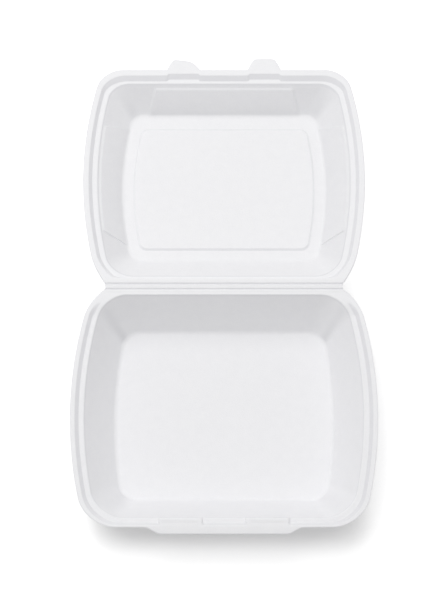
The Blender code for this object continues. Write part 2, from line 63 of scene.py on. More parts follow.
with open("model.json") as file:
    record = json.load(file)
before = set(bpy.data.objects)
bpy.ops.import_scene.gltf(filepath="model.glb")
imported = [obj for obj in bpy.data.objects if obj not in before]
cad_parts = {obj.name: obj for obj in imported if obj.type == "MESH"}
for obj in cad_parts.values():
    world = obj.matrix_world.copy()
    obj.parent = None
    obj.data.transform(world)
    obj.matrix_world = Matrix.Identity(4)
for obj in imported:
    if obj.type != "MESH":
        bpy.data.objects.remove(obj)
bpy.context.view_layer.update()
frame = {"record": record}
JOINTS = {joint["name"]: joint for joint in frame["record"]["behaviour"]["joints"]}
TRAY_CREASE = Vector(JOINTS["strip_fold"]["pos_m"])
LID_CREASE = Vector(JOINTS["lid_fold"]["pos_m"])
CREASE_PITCH = (LID_CREASE - TRAY_CREASE).length
STRIP_DROOP = atan2(TRAY_CREASE.z - LID_CREASE.z, LID_CREASE.y - TRAY_CREASE.y)
FLANGE_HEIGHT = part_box("tray")[1][2]
TRAY_HALF_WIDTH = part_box("tray")[1][0]
LID_HALF_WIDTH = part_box("lid")[1][0]

# Sheet and folds. A crease's axis lies AXIS_HEIGHT above the sheet's underside.
SHEET = 0.0021
AXIS_HEIGHT = 0.0002
FOLD_REACH = 0.0022
GROOVE_DEPTH = 0.0011
GROOVE_HALF_WIDTH = 0.0010
GROOVE_SHARPNESS = 2.6
NOTCH_SHARE = 0.12
NOTCH_SHARPNESS = 6
CREASE_MARK_SHARPNESS = 3
STRIP_DROP = 0.0002
NECK_HALF_WIDTH = 0.0945
STRIP_HALF_WIDTH = 0.0943
NECK_TO_STRIP = (-0.0004, 0.0008)
FOLD_END_ROUND = 0.0006
FOLD_END_THINNING = 0.55
FOLD_END_POINTS = 5
FOLD_LENGTH_POINTS = 97
FOLD_SECTION_POINTS = 29

# Tray. Rims and walls are measured at the back, side and front, corners at the back and front.
TRAY_LENGTH = 0.1870
TRAY_SIDE_BOW = 0.0149
TRAY_RADII = (0.0324, 0.0226)
TRAY_RIM = (0.0046, 0.0105, 0.0070)
TRAY_MOUTH_RADII = (0.0180, 0.0200)
TRAY_WALL = (0.0221, 0.0213, 0.0165)
TRAY_DEPTH = 0.0425
TRAY_FLOOR_BOW = 0.0068
TRAY_FLOOR_RADIUS = 0.0125
TRAY_FRONT_END = 0.072
TRAY_LEDGE_START = 0.30
TRAY_WALL_TOP_SHARE = 0.09
TRAY_WALL_TOP_CUT = (0.0015, 3)

# Tongue and slits at the tray's front
TONGUE_ROOT = 0.0610
TONGUE_TIP = 0.0487
TONGUE_REACH = 0.0052
TONGUE_DROOP = 0.0010
TONGUE_SOFTNESS = 0.6
SLIT_CENTRE = 0.0335
SLIT_LENGTH = 0.0280
LAND_LENGTH = 0.0320
LAND_RAMP = 0.0016
LAND_RAMP_BELOW = 0.0060

# Lid, measured like the tray
LID_LENGTH = 0.1926
LID_SIDE_BOW = 0.0146
LID_RADII = (0.0675, 0.0165)
LID_RIM = (0.0070, 0.0115, 0.0118)
LID_MOUTH_RADII = (0.0170, 0.0130)
LID_WALL = (0.0200, 0.0198, 0.0217)
LID_DEPTH = 0.0211
LID_FLOOR_BOW = 0.0086
LID_FLOOR_RADIUS = 0.0085

# Raised panels on the lid's walls and floor. The front one's half length is given at the mouth,
# at the wall's foot and at the floor panel's line.
FRONT_PANEL_HALF_LENGTH = 0.0565
FRONT_PANEL_FOOT_HALF_LENGTH = 0.0650
FRONT_PANEL_LINE_HALF_LENGTH = 0.0600
SIDE_PANEL_BACK = 0.0485
SIDE_PANEL_FRONT = 0.1405
SIDE_PANEL_FOOT_BACK = 0.0405
SIDE_PANEL_FOOT_FRONT = 0.1468
FLOOR_PANEL_HALF_WIDTH = 0.0753
FLOOR_PANEL_BOW = 0.0062
FLOOR_PANEL_BACK = 0.0367
FLOOR_PANEL_FRONT = 0.1472
FLOOR_PANEL_RADIUS = 0.0060
BEFORE_FRONT_PANEL_END = 0.0555
BEFORE_CORNER = 0.001
PANEL_CUT = (0.0004, 3)
PANEL_RAMP_BELOW = 0.0040

# Tabs at the lid's front
TAB_CENTRE = 0.0340
TAB_HALF_ROOT = 0.0142
TAB_HALF_TIP = 0.0103
TAB_REACH = 0.01055
TAB_SQUARENESS = 12
LEFT_TAB_REACH = 0.0088
LEFT_TAB_SLANT = 0.0014
LEFT_TAB_SQUARENESS = 6
TAB_JOG = 0.0017
JOG_RAMP = 0.0022

# Rim lines as shares from the outer edge (0) to the mouth (1), at the back, side and front:
# plain edge, flange, step, and the tray's slits
TRAY_RIM_SHARES = ((0.15, 0.35, 0.55, 0.70, 0.82),
                   (0.12, 0.34, 0.63, 0.74, 0.84),
                   (0.10, 0.22, 0.53, 0.605, 0.605))
LID_RIM_SHARES = ((0.15, 0.50, 0.68),
                  (0.12, 0.40, 0.65),
                  (0.12, 0.47, 0.84))

# Wall panel lines as shares from the mouth (0) to the wall's foot (1)
SIDE_PANEL_SHARES = (0.07, 0.125, 0.50, 0.80)
FRONT_PANEL_SHARES = (0.13, 0.185, 0.50, 0.80)

# Outline shapes as shares of the length that bows
BOW_CENTRE_SHARE = 0.52
BOW_REACH_SHARE = 0.508
INNER_START_ANGLE = radians(35)

# Numbers of control rings, counted inwards from the outer edge
TRAY_SLIT_RING = 4
TRAY_MOUTH_RING = 6
LID_MOUTH_RING = 4
RISER_RINGS = (1, 4)

# Fine rings that round each line, and the limits of rounding and of the sheet's underside.
# FILLET_GAIN is how much the underside's fillet grows, in sheet thicknesses.
EDGE_RINGS = 5
RIM_RINGS = 4
MOUTH_RINGS = 6
FOOT_RINGS = 12
FILLET_GAIN = 0.45
CUT_LIMIT = 0.48
SLANT_LIMIT = 0.55
SMOOTHING_PASSES = 5
RING_GAP_SHARE = 0.04
FLOOR_RING_SHARES = (0.9, 0.75, 0.5, 0.25, 0.08)
NO_LENGTH = 1e-14
UP = np.array([[0.0, 0.0, 1.0]])
MERGE_DISTANCE = 1e-6
SHARP_ANGLE = radians(42)

# Painted shade, 0 for none and 1 for full, at the back, side and front: darker lines on the rim's
# outer edge, risers and lip, the floor panel's edge and the creases, and darker walls and corners,
# where light falls off. A lip's shade comes with its number of fine rings.
TRAY_RISER_SHADE = (0.6, 0.9, 0.6)
TRAY_LIP_SHADE = (0.6, 1)
LID_RISER_SHADE = (0.6, 0.9, 1.25)
LID_LIP_SHADE = (0.85, 3)
FLOOR_PANEL_LINE_SHADE = (0.6, 0.25, 0.35)
CREASE_SHADE = 0.75
OUTER_EDGE_SHADE = 0.5
RISER_SHADE_EDGE = 0.12
WALL_SHADE_FOOT = (0.0003, 0.0022)
CORNER_PEAK_POWER = 3
TRAY_CORNER_SHADE = (0.45, 0.32)
TRAY_WALL_TOP_SHADE = 0.3
LID_WALL_SHADE = (0.05, 0.26, 0.50)
LID_CORNER_SHADE = 0.30
LID_PANEL_SHADE = 0.6

# Foam skin: a cell's dome in its own widths, noises as scale per metre and detail, and how much
# cells and patches say in the shade
CELL_DOME = (0.15, 0.75)
PATCHES = (150, 3)
WAVES = (28, 1.5)
CELL_SHADE = 0.55
PATCH_SHADE = 0.75
PATCH_ROUGHNESS = 0.16

# Stage: the camera as fitted to the photograph, in its own 448 x 600 pixels
CAMERA_ELEVATION = radians(77.58)
CAMERA_DISTANCE = 1.108
CAMERA_FOCAL_PX = 1399
PHOTO_HEIGHT_PX = 600
CAMERA_TARGET_BEFORE_HINGE = 0.01119
SENSOR_WIDTH_MM = 36

# Stage: the floor, whose glow grows away from the tray's shadow, and the light. Each glow gives
# where it starts and ends in shadow sizes, and its strength.
FLOOR_SIZE = 3.0
SHADOW_CENTRE = (0.003, -0.02, 0)
SHADOW_HALF_WIDTH = 0.100
SHADOW_HALF_LENGTH = 0.077
FLOOR_GLOWS = ((0.94, 1.20, 0.29), (1.26, 1.76, 0.24))
AMBIENT = 0.74
LAMP_TARGET = (0, 0.10, 0.03)
LAMP_SIZE = 1.0
LAMPS = (("lamp_back", (-0.17, 1.04, 1.78), 8.9), ("lamp_left", (-0.61, 0.62, 1.86), 7.3))


class FoamBoxSizes(PropertyGroup):
    """Small forms of the foam sheet that a user would change."""

    edge_round: FloatProperty(
        name="Edge rounding", description="Rounding of the rim's outer edge", default=0.0008,
        unit="LENGTH")
    rim_round: FloatProperty(
        name="Rim rounding", description="Rounding of the lines along the rim", default=0.0004,
        unit="LENGTH")
    mouth_round: FloatProperty(
        name="Mouth rounding", description="Rounding where the rim turns down into the walls",
        default=0.0010, unit="LENGTH")
    tray_fillet: FloatProperty(
        name="Tray fillet", description="Rounding at the foot of its walls", default=0.0030,
        unit="LENGTH")
    lid_fillet: FloatProperty(
        name="Lid fillet", description="Rounding at the foot of its walls", default=0.0030,
        unit="LENGTH")
    tray_step: FloatProperty(
        name="Tray step", description="Drop from its flange to its ledge", default=0.0024,
        unit="LENGTH")
    lid_step: FloatProperty(
        name="Lid step", description="Drop from its flange to its ledge", default=0.0028,
        unit="LENGTH")
    slit_width: FloatProperty(
        name="Slit width", description="Opening of the slits for the tabs", default=0.0002,
        unit="LENGTH")
    panel_rise: FloatProperty(
        name="Wall panel rise", description="Height of the raised panels on the lid's side walls",
        default=0.0010, unit="LENGTH")
    front_panel_rise: FloatProperty(
        name="Front panel rise", description="Height of the raised panel on the lid's front wall",
        default=0.0014, unit="LENGTH")
    panel_edge: FloatProperty(
        name="Wall panel edge", description="Width of the wall panels' sloping edge",
        default=0.0010, unit="LENGTH")
    floor_panel_rise: FloatProperty(
        name="Floor panel rise", description="Height of the raised panel on the lid's floor",
        default=0.0012, unit="LENGTH")
    floor_panel_edge: FloatProperty(
        name="Floor panel edge", description="Width of the floor panel's sloping edge",
        default=0.0015, unit="LENGTH")


class FoamBoxFinish(PropertyGroup):
    """Colours and surface of the foam and the floor."""

    foam_color: FloatVectorProperty(
        name="Foam", description="Colour of the foam's smooth skin",
        default=(0.914, 0.9130, 0.9262), size=3, subtype="COLOR")
    cell_color: FloatVectorProperty(
        name="Cells", description="Colour between the foam's cells",
        default=(0.865, 0.8645, 0.8830), size=3, subtype="COLOR")
    # Painted shade: multiplied into walls and corners that face away from the light
    wall_shade_tint: FloatVectorProperty(
        name="Drawn tint", description="Darkening where the sheet was drawn thin",
        default=(0.78, 0.78, 0.79), subtype="COLOR", size=3, min=0, max=1)
    # Painted shade: multiplied into the darker lines of the edge, risers, lip, floor panel and
    # creases
    line_shade_tint: FloatVectorProperty(
        name="Pressed tint", description="Darkening where the foam was pressed",
        default=(0.87, 0.87, 0.88), subtype="COLOR", size=3, min=0, max=1)
    roughness: FloatProperty(
        name="Roughness", description="Roughness of the foam's smooth skin", default=0.52, min=0,
        max=1, subtype="FACTOR")
    cell_size: FloatProperty(
        name="Cell size", description="Width of the foam's cells", default=0.0006, unit="LENGTH")
    grain_depth: FloatProperty(
        name="Grain depth", description="How deep the skin's cells go", default=0.00004,
        unit="LENGTH")
    wave_depth: FloatProperty(
        name="Wave depth", description="Height of the skin's slow unevenness", default=0.00012,
        unit="LENGTH")
    floor_color: FloatVectorProperty(
        name="Floor", description="Colour that the floor throws on the foam",
        default=(0.80, 0.80, 0.80), size=3, subtype="COLOR")


def smooth_step(value, low, high):
    share = np.clip((value - low) / (high - low), 0, 1)
    return share * share * (3 - 2 * share)


def mix(a, b, share):
    return a + (b - a) * share


class Grid:
    """How many points a loop has along each stretch of half a turn, and where they fall.

    A half turn runs from the crease's middle round the back corner, along the side and round
    the front corner to the middle of the front. back's points lie closer towards the corner.
    """

    back = np.concatenate([np.linspace(0, 0.85, 24), np.linspace(0.88, 1, 9)[:-1]])
    corner = np.linspace(0, 1, 24, endpoint=False)

    def __init__(self, side, front_x):
        self.side = side
        self.front_x = front_x
        sizes = [len(self.back), len(self.corner), len(side), len(self.corner), len(front_x)]
        self.ends = np.cumsum(sizes)
        self.place = self.mirrored(np.arange(self.ends[-1]))

    def mirrored(self, half, sign=1):
        """Values of half a turn carried on round the other half, back to the start."""
        return np.concatenate([half, sign * half[-2:0:-1]])

    def corner_share(self, before):
        """0 before the corner that follows the given stretch, rising to 1 behind it."""
        start, end = self.ends[before], self.ends[before + 1]
        return np.clip((self.place - start) / (end - start), 0, 1)

    def corner_peak(self, before):
        """A soft peak in the middle of the corner that follows the given stretch."""
        return np.sin(pi * self.corner_share(before)) ** CORNER_PEAK_POWER

    def zones(self):
        """Weights of the back, side and front of the rim at every point of the loop."""
        to_side, to_front = (smooth_step(self.corner_share(k), 0, 1) for k in (0, 2))
        return 1 - to_side, to_side * (1 - to_front), to_front

    def at_front(self):
        return self.place >= self.ends[3]

    def at_side(self):
        return (self.place >= self.ends[1]) & (self.place <= self.ends[2])

    def free_edge(self):
        """1 where the outer edge is free, 0 along the crease."""
        return np.where(self.place <= self.ends[0], 0, 1)


class Outline:
    """A rounded rectangle in x and d whose long sides bow outwards.

    bowing holds where the bow begins and ends along d.
    """

    def __init__(self, half_width, bow, bowing, back, front, back_radius, front_radius):
        self.straight = half_width - bow
        self.bow = bow
        self.bow_centre = mix(*bowing, BOW_CENTRE_SHARE)
        self.bow_reach = (bowing[1] - bowing[0]) * BOW_REACH_SHARE
        self.back, self.front = back, front
        self.back_radius, self.front_radius = back_radius, front_radius
        self.cut = back
        self.start_angle = INNER_START_ANGLE
        self.side_knots = [back + back_radius, front - front_radius]
        self.front_end = self.straight - front_radius
        self.front_knots = None

    def cut_at_crease(self, neck, crease):
        """Let the back corner run out to the neck at d = 0, and cut it off at d = crease."""
        rise = self.bow * ((self.bow_centre / self.bow_reach) ** 2 - 1)
        angle = asin((neck + rise - self.straight + self.back_radius) / self.back_radius)
        self.back = -self.back_radius * (1 - cos(angle))
        self.start_angle = acos(cos(angle) - crease / self.back_radius)
        self.cut = crease
        self.side_knots[0] = self.back + self.back_radius

    def pin(self, side_back, side_front, front_top=None, front_foot=None):
        """Pin loop points to the ends of the wall panels, at the places given."""
        low, high = self.side_knots[0], self.side_knots[-1]
        self.side_knots = [low, side_back, side_front, high]
        if front_top:
            self.front_knots = (front_top, front_foot)

    def bowed(self, x, d):
        lean = (d - self.bow_centre) / self.bow_reach
        return np.stack([x + self.bow * (1 - lean ** 2) * (x / self.straight) ** 2, d], axis=-1)

    def loop(self, grid, rim_end=None):
        """The closed loop of points. rim_end scales the front's points down with the corner."""
        start = self.straight - self.back_radius
        x = grid.back * (start + self.back_radius * sin(self.start_angle))
        over = np.maximum(x - start, 0)
        d = self.back + self.back_radius - np.sqrt(self.back_radius ** 2 - over ** 2)
        parts = [self.bowed(x, np.maximum(d, self.cut))]
        angle = mix(self.start_angle, pi / 2, grid.corner)
        parts.append(self.bowed(start + self.back_radius * np.sin(angle),
                                self.back + self.back_radius * (1 - np.cos(angle))))
        d = np.interp(grid.side, np.linspace(0, 1, len(self.side_knots)), self.side_knots)
        parts.append(self.bowed(np.full(len(d), self.straight), d))
        angle = pi / 2 * (1 - grid.corner)
        parts.append(self.bowed(self.front_end + self.front_radius * np.sin(angle),
                                self.front - self.front_radius * (1 - np.cos(angle))))
        x = grid.front_x
        if rim_end and self.front_knots:
            top, foot = self.front_knots
            x = np.interp(x, [0, top, rim_end], [0, foot, self.front_end])
        elif rim_end:
            x = x * self.front_end / rim_end
        parts.append(self.bowed(x, np.full(len(x), self.front)))
        half = np.concatenate(parts)
        return np.stack([grid.mirrored(half[:, 0], -1), grid.mirrored(half[:, 1])], axis=-1)


def lifted(loop, height):
    return np.concatenate([loop, np.broadcast_to(height, len(loop))[:, None]], axis=1)


def inset(loop, distance):
    """Move each point of a flat loop inwards, square to the loop."""
    along = np.roll(loop, -1, axis=0) - np.roll(loop, 1, axis=0)
    along /= np.linalg.norm(along, axis=1, keepdims=True)
    return loop + np.stack([-along[:, 1], along[:, 0]], axis=-1) * distance


def normals_between(low, high):
    """The upward normal of each face between two neighbouring rings."""
    after_low, after_high = np.roll(low, -1, axis=0), np.roll(high, -1, axis=0)
    normal = np.cross(after_high - low, high - after_low)
    length = np.linalg.norm(normal, axis=1, keepdims=True)
    return np.where(length > NO_LENGTH, normal / np.maximum(length, NO_LENGTH), UP)


def underside(rings):
    """Each ring moved down by the sheet's thickness, square to the faces that meet there."""
    faces = [normals_between(low, high) for low, high in zip(rings, rings[1:])]
    lower = []
    for k, ring in enumerate(rings):
        around = [faces[j] for j in (k - 1, k) if 0 <= j < len(faces)]
        if k == len(rings) - 1:
            around.append(np.broadcast_to(UP, ring.shape))
        around = [n for face in around for n in (face, np.roll(face, 1, axis=0))]
        mean = sum(around)
        mean /= np.linalg.norm(mean, axis=1, keepdims=True)
        slant = np.min([np.sum(mean * n, axis=1) for n in around], axis=0)
        move = mean * (SHEET / np.maximum(slant, SLANT_LIMIT))[:, None]
        for _ in range(SMOOTHING_PASSES):
            move = (np.roll(move, 1, axis=0) + 2 * move + np.roll(move, -1, axis=0)) / 4
        lower.append(ring - move)
    return lower


def rounded(rings, cuts):
    """Replace each ring that has a cut and a count by that many rings round its corner."""
    out, first = [], []
    for k, ring in enumerate(rings):
        first.append(len(out))
        if not cuts[k]:
            out.append(ring)
            continue
        cut, count = cuts[k]
        before, after = rings[k - 1] - ring, rings[k + 1] - ring
        long_before = np.linalg.norm(before[:, :3], axis=1, keepdims=True)
        long_after = np.linalg.norm(after[:, :3], axis=1, keepdims=True)
        reach = np.minimum(np.reshape(cut, (-1, 1)),
                           CUT_LIMIT * np.minimum(long_before, long_after))
        start = ring + before / long_before * reach
        end = ring + after / long_after * reach
        for share in np.linspace(0, 1, count):
            out.append(mix(mix(start, ring, share), mix(ring, end, share), share))
    return out, first


def shrunk(ring, share):
    """A ring of a flat floor drawn in towards the middle."""
    middle = (ring.max(axis=0) + ring.min(axis=0)) / 2
    return middle + (ring - middle) * share


def wall_shade_share(height, depth):
    """1 on the walls, 0 on the floor, changing just above the wall's foot."""
    return smooth_step(height + depth, *WALL_SHADE_FOOT)


def riser_shade_share(height, step):
    """1 on the steep face between flange and ledge, where shade is painted, 0 beside it."""
    soft = RISER_SHADE_EDGE * step
    return smooth_step(-height, 0, soft) * (1 - smooth_step(-height, step - soft, step))


def shell_mesh(name, top, under, top_cuts, under_cuts, place, mouth, marks, heights, slit=None):
    """One closed shell. top and under run from the rim's edge to the floor.

    mouth is the number of the ring where the wall begins. The last of marks holds the painted
    shade of walls and corners at each ring of top. heights holds the flange's height over the ledge
    and over the floor. slit gives the ring number and the cells that are cut through both faces.
    """
    wall_shade = marks[-1]
    plain = np.zeros(len(top[0]))
    top = [np.column_stack([ring, share]) for ring, share in zip(top, wall_shade)]
    under = [np.column_stack([ring, plain]) for ring in under]
    low_floor, top_floor = ([np.column_stack([shrunk(face[-1][:, :3], share), plain])
                             for share in FLOOR_RING_SHARES] for face in (under, top))
    uncut = [None] * len(FLOOR_RING_SHARES)
    rings, first = rounded(low_floor[::-1] + under[::-1] + top + top_floor,
                           uncut + under_cuts[::-1] + top_cuts + uncut)
    under_end = len(uncut) + len(under)
    line_shade = line_shade_rings(rings, first[under_end:], len(top), mouth, marks, heights)
    # The walls' painted shade fades out at the wall's foot
    for k in range(first[under_end + RISER_RINGS[1]], len(rings)):
        rings[k][:, 3] *= wall_shade_share(rings[k][:, 2], heights[1])
    if slit:
        number, cells = slit
        top_ring, low_ring = first[under_end + number], first[under_end - number - 2]
        faces = tube_faces(len(rings), len(plain), {top_ring: cells, low_ring: cells})
        faces += slit_walls(top_ring, low_ring, cells, len(plain))
    else:
        faces = tube_faces(len(rings), len(plain), {})
    points = np.concatenate(rings)
    return mesh_object(name, [place @ Vector(point) for point in points[:, :3]], faces,
                       np.concatenate(line_shade), points[:, 3])


def line_shade_rings(rings, first, top_count, mouth, marks, heights):
    """Painted shade at every point of the fine rings: darker lines where light falls off.

    first holds the first fine ring of each control ring of the upper face. marks says how much
    shade is painted on the cut edge, the riser, the mouth's lip and the floor panel's edge.
    """
    edge_shade, riser_shade, (lip_shade, lip_rings), panel_line_shade, _ = marks
    line_shade = [np.zeros(len(ring)) for ring in rings]
    for k in range(first[RISER_RINGS[0]], first[RISER_RINGS[1]]):
        line_shade[k] = riser_shade * riser_shade_share(rings[k][:, 2], heights[0])
    lip = first[mouth + 1]
    for start, end, share in ((first[0], first[1] - 1, edge_shade),
                              (lip - lip_rings, lip, lip_shade),
                              (first[top_count - 2] + 1, first[top_count] - 1, panel_line_shade)):
        for k in range(start, end):
            line_shade[k] = line_shade[k] + share
    return line_shade


def tube_faces(rings, count, skip):
    """The faces of a tube of rings with capped ends. skip gives a ring's cells to leave open."""
    faces = []
    for k in range(rings - 1):
        kept = np.setdiff1d(np.arange(count), skip[k]) if k in skip else np.arange(count)
        n = (kept + 1) % count
        low, high = k * count, (k + 1) * count
        faces += np.stack([low + kept, low + n, high + n, high + kept], axis=1).tolist()
    return faces + [list(range(count)), list(range((rings - 1) * count, rings * count))]


def slit_walls(top, low, cells, count):
    """The faces through the sheet all round each slit."""
    walls = []
    taken = set(cells.tolist())
    for i in taken:
        n = (i + 1) % count
        for upper, lower in ((top, low + 1), (top + 1, low)):
            walls.append([upper * count + i, upper * count + n, lower * count + n,
                          lower * count + i])
        for end, beyond in ((i, (i - 1) % count), (n, n)):
            if beyond not in taken:
                walls.append([top * count + end, (top + 1) * count + end, low * count + end,
                              (low + 1) * count + end])
    return walls


def add_object(name, data):
    obj = bpy.data.objects.new(name, data)
    bpy.context.scene.collection.objects.link(obj)
    return obj


def mesh_object(name, points, faces, line_shade, wall_shade):
    """A smooth mesh object with outward normals and its painted shade in two point attributes."""
    data = bpy.data.meshes.new(name)
    data.from_pydata(points, [], faces)
    for mark, shares in (("line_shade", line_shade), ("wall_shade", wall_shade)):
        data.attributes.new(mark, "FLOAT", "POINT").data.foreach_set(
            "value", np.clip(shares, 0, 1).astype(np.float32))
    mesh = bmesh.new()
    mesh.from_mesh(data)
    bmesh.ops.remove_doubles(mesh, verts=mesh.verts, dist=MERGE_DISTANCE)
    bmesh.ops.recalc_face_normals(mesh, faces=mesh.faces)
    mesh.to_mesh(data)
    mesh.free()
    data.shade_smooth()
    data.set_sharp_from_angle(angle=SHARP_ANGLE)
    data.materials.append(foam_material())
    return add_object(name, data)


def rim_lines(grid, outer, mouth, shares):
    """The flat loops along the rim at the shares given for its back, side and front."""
    return [outer + (mouth - outer) * by_zone(grid, line)[:, None] for line in zip(*shares)]


def by_zone(grid, values):
    """Values for the back, side and front, blended round the corners."""
    return sum(weight * value for weight, value in zip(grid.zones(), values))


def keep_apart(grid, lower, mouth):
    """Keep the rim's underside rings in order, and evenly spaced at the narrow crease."""
    back = grid.zones()[0][:, None]
    across_rim = (lower[mouth] - lower[0])[:, :2]
    length = np.sum(across_rim ** 2, axis=1)
    reached = np.zeros(len(across_rim))
    for k in range(1, mouth):
        lower[k] = mix(lower[k], mix(lower[0], lower[mouth], k / mouth), back)
        share = np.sum((lower[k] - lower[0])[:, :2] * across_rim, axis=1) / length
        most = 1 - RING_GAP_SHARE * (mouth - k)
        kept = np.minimum(np.maximum(share, reached + RING_GAP_SHARE), most)
        lower[k][:, :2] += across_rim * (kept - share)[:, None]
        reached = kept
    return lower


def with_edge(grid, top, under, shaped, drop, mouth):
    """Both faces' control rings begun with the shaped edge, which lies drop below the flange."""
    under = [lifted(shaped, -SHEET - drop), lifted(top[0][:, :2], -SHEET), *under[1:]]
    return [lifted(shaped, -drop), *top], keep_apart(grid, under, mouth)


def line_cuts(grid, sizes):
    """Rounding of the edge, which stays sharp along the crease, of the rim and of the mouth."""
    return ((sizes.edge_round * grid.free_edge(), EDGE_RINGS), (sizes.rim_round, RIM_RINGS),
            (sizes.mouth_round, MOUTH_RINGS))


def tray_grid():
    """A point at every millimetre of the front and at both ends of each slit."""
    slit_ends = [SLIT_CENTRE - SLIT_LENGTH / 2, SLIT_CENTRE + SLIT_LENGTH / 2]
    front = np.unique(np.concatenate([np.linspace(0, TRAY_FRONT_END, 73), slit_ends]))[::-1]
    return Grid(np.linspace(0, 1, 72, endpoint=False), front)


def half_outlines(half_width, length, bow, radii, rim, mouth_radii, wall, floor_bow, floor_radius):
    """The outer edge, the mouth and the walls' foot of one half."""
    rim_back, rim_side, rim_front = rim
    wall_back, wall_side, wall_front = wall
    bowing = (0, length)
    outer = Outline(half_width, bow, bowing, 0, length, *radii)
    outer.cut_at_crease(NECK_HALF_WIDTH, FOLD_REACH)
    mouth = Outline(half_width - rim_side, bow, bowing, rim_back, length - rim_front, *mouth_radii)
    floor = (rim_back + wall_back, length - rim_front - wall_front)
    foot = Outline(half_width - rim_side - wall_side, floor_bow, floor, *floor,
                   floor_radius, floor_radius)
    return outer, mouth, foot


def tray_outlines():
    return half_outlines(TRAY_HALF_WIDTH, TRAY_LENGTH, TRAY_SIDE_BOW, TRAY_RADII, TRAY_RIM,
                         TRAY_MOUTH_RADII, TRAY_WALL, TRAY_FLOOR_BOW, TRAY_FLOOR_RADIUS)


def land_share(x, ramp):
    """1 on the flat land round each slit, 0 on the ledge, with a ramp of the length given."""
    away = np.abs(np.abs(x) - SLIT_CENTRE) - LAND_LENGTH / 2
    return 1 - smooth_step(away, 0, ramp)


def tray_rings(grid, loops, sizes, land_ramp):
    """The tray's upper control rings from the plain edge to the foot of the wall."""
    outer, mouth, foot = loops
    lines = rim_lines(grid, outer, mouth, TRAY_RIM_SHARES)
    plain = smooth_step(grid.corner_share(0), TRAY_LEDGE_START, 1)
    lands = np.where(grid.at_front(), land_share(mouth[:, 0], land_ramp), 0)
    ledge = -sizes.tray_step * plain * (1 - lands)
    half_slit = grid.zones()[2] * sizes.slit_width / TRAY_RIM[2] / 2
    slit = [line + (mouth - outer) * (side * half_slit)[:, None]
            for line, side in zip(lines[3:], (-1, 1))]
    nominal = lifted(mouth, -sizes.tray_step * plain)
    floor = lifted(foot, -TRAY_DEPTH)
    return [lifted(lines[0], 0), lifted(lines[1], 0), lifted(lines[2], ledge),
            lifted(slit[0], ledge), lifted(slit[1], ledge), lifted(mouth, ledge),
            mix(nominal, floor, TRAY_WALL_TOP_SHARE), floor]


def build_tray(sizes):
    grid = tray_grid()
    outer_line, mouth_line, foot_line = tray_outlines()
    outer, mouth = outer_line.loop(grid), mouth_line.loop(grid)
    foot = foot_line.loop(grid, mouth_line.front_end)
    loops = (outer, mouth, foot)
    top = tray_rings(grid, loops, sizes, LAND_RAMP)
    under = underside(tray_rings(grid, loops, sizes, LAND_RAMP_BELOW))
    reach = np.where(grid.at_front(), tongue_share(outer[:, 0]), 0)
    shaped = outer + np.stack([0 * reach, TONGUE_REACH * reach], axis=-1)
    top, under = with_edge(grid, top, under, shaped, TONGUE_DROOP * reach, TRAY_MOUTH_RING)
    edge, rim, mouth_cut = line_cuts(grid, sizes)
    rim_cuts = [edge, None, rim, rim, None, None]
    top_cuts = rim_cuts + [mouth_cut, TRAY_WALL_TOP_CUT, (sizes.tray_fillet, FOOT_RINGS)]
    under_cuts = rim_cuts + [rim, TRAY_WALL_TOP_CUT,
                             (sizes.tray_fillet + FILLET_GAIN * SHEET, FOOT_RINGS)]
    cells = slit_cells(grid, mouth)
    place = (Matrix.Translation((0, TRAY_CREASE.y, FLANGE_HEIGHT))
             @ Matrix.Scale(-1, 4, (0, 1, 0)))
    # Painted shade in the wall's corners, darker in the back ones
    corner = TRAY_CORNER_SHADE[0] * grid.corner_peak(0) + TRAY_CORNER_SHADE[1] * grid.corner_peak(2)
    wall_shade = [0 * corner] * (TRAY_MOUTH_RING + 1) + [TRAY_WALL_TOP_SHADE * corner, corner]
    # Painted shade: darker lines on the outer edge, the risers and the lip
    marks = (OUTER_EDGE_SHADE * grid.free_edge(), by_zone(grid, TRAY_RISER_SHADE), TRAY_LIP_SHADE, 0, wall_shade)
    shell = shell_mesh("tray_shell", top, under, top_cuts, under_cuts, place, TRAY_MOUTH_RING,
                       marks, (sizes.tray_step, TRAY_DEPTH), slit=(TRAY_SLIT_RING, cells))
    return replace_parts(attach(shell, "tray"), "tray")


def tongue_share(x):
    """1 along the tongue's tip, 0 beyond its root, straight between with soft ends."""
    away = np.abs(x)
    straight = 1 - np.clip((away - TONGUE_TIP) / (TONGUE_ROOT - TONGUE_TIP), 0, 1)
    return mix(straight, 1 - smooth_step(away, TONGUE_TIP, TONGUE_ROOT), TONGUE_SOFTNESS)


def slit_cells(grid, loop):
    """The cells of a loop's front that lie within the two slits."""
    after = np.roll(loop, -1, axis=0)
    middle = np.abs(loop[:, 0] + after[:, 0]) / 2
    front = grid.at_front() & np.roll(grid.at_front(), -1)
    return np.nonzero(front & (np.abs(middle - SLIT_CENTRE) < SLIT_LENGTH / 2))[0]


def lid_grid(sizes, mouth):
    """Points that lie closest round the tabs and at the ends of the wall panels."""
    around_tab = TAB_CENTRE + TAB_HALF_ROOT * np.cos(np.linspace(0, pi, 33))
    edge = np.array([0, 0.5, 1]) * sizes.panel_edge
    beyond = FRONT_PANEL_HALF_LENGTH + edge[2]
    front = np.concatenate([np.linspace(0, TAB_CENTRE - TAB_HALF_ROOT, 16), around_tab,
                            np.linspace(TAB_CENTRE + TAB_HALF_ROOT, BEFORE_FRONT_PANEL_END, 7),
                            FRONT_PANEL_HALF_LENGTH + edge,
                            np.linspace(beyond, mouth.front_end - BEFORE_CORNER, 13)[1:]])
    front = np.unique(np.round(front, 7))[::-1]
    low, back, far, high = mouth.side_knots
    side = np.concatenate([np.linspace(low, back - edge[2], 12)[:-1], back - edge[::-1],
                           np.linspace(back, far, 62)[1:-1], far + edge,
                           np.linspace(far + edge[2], high, 14)[1:-1]])
    return Grid(np.interp(side, mouth.side_knots, np.linspace(0, 1, 4)), front)


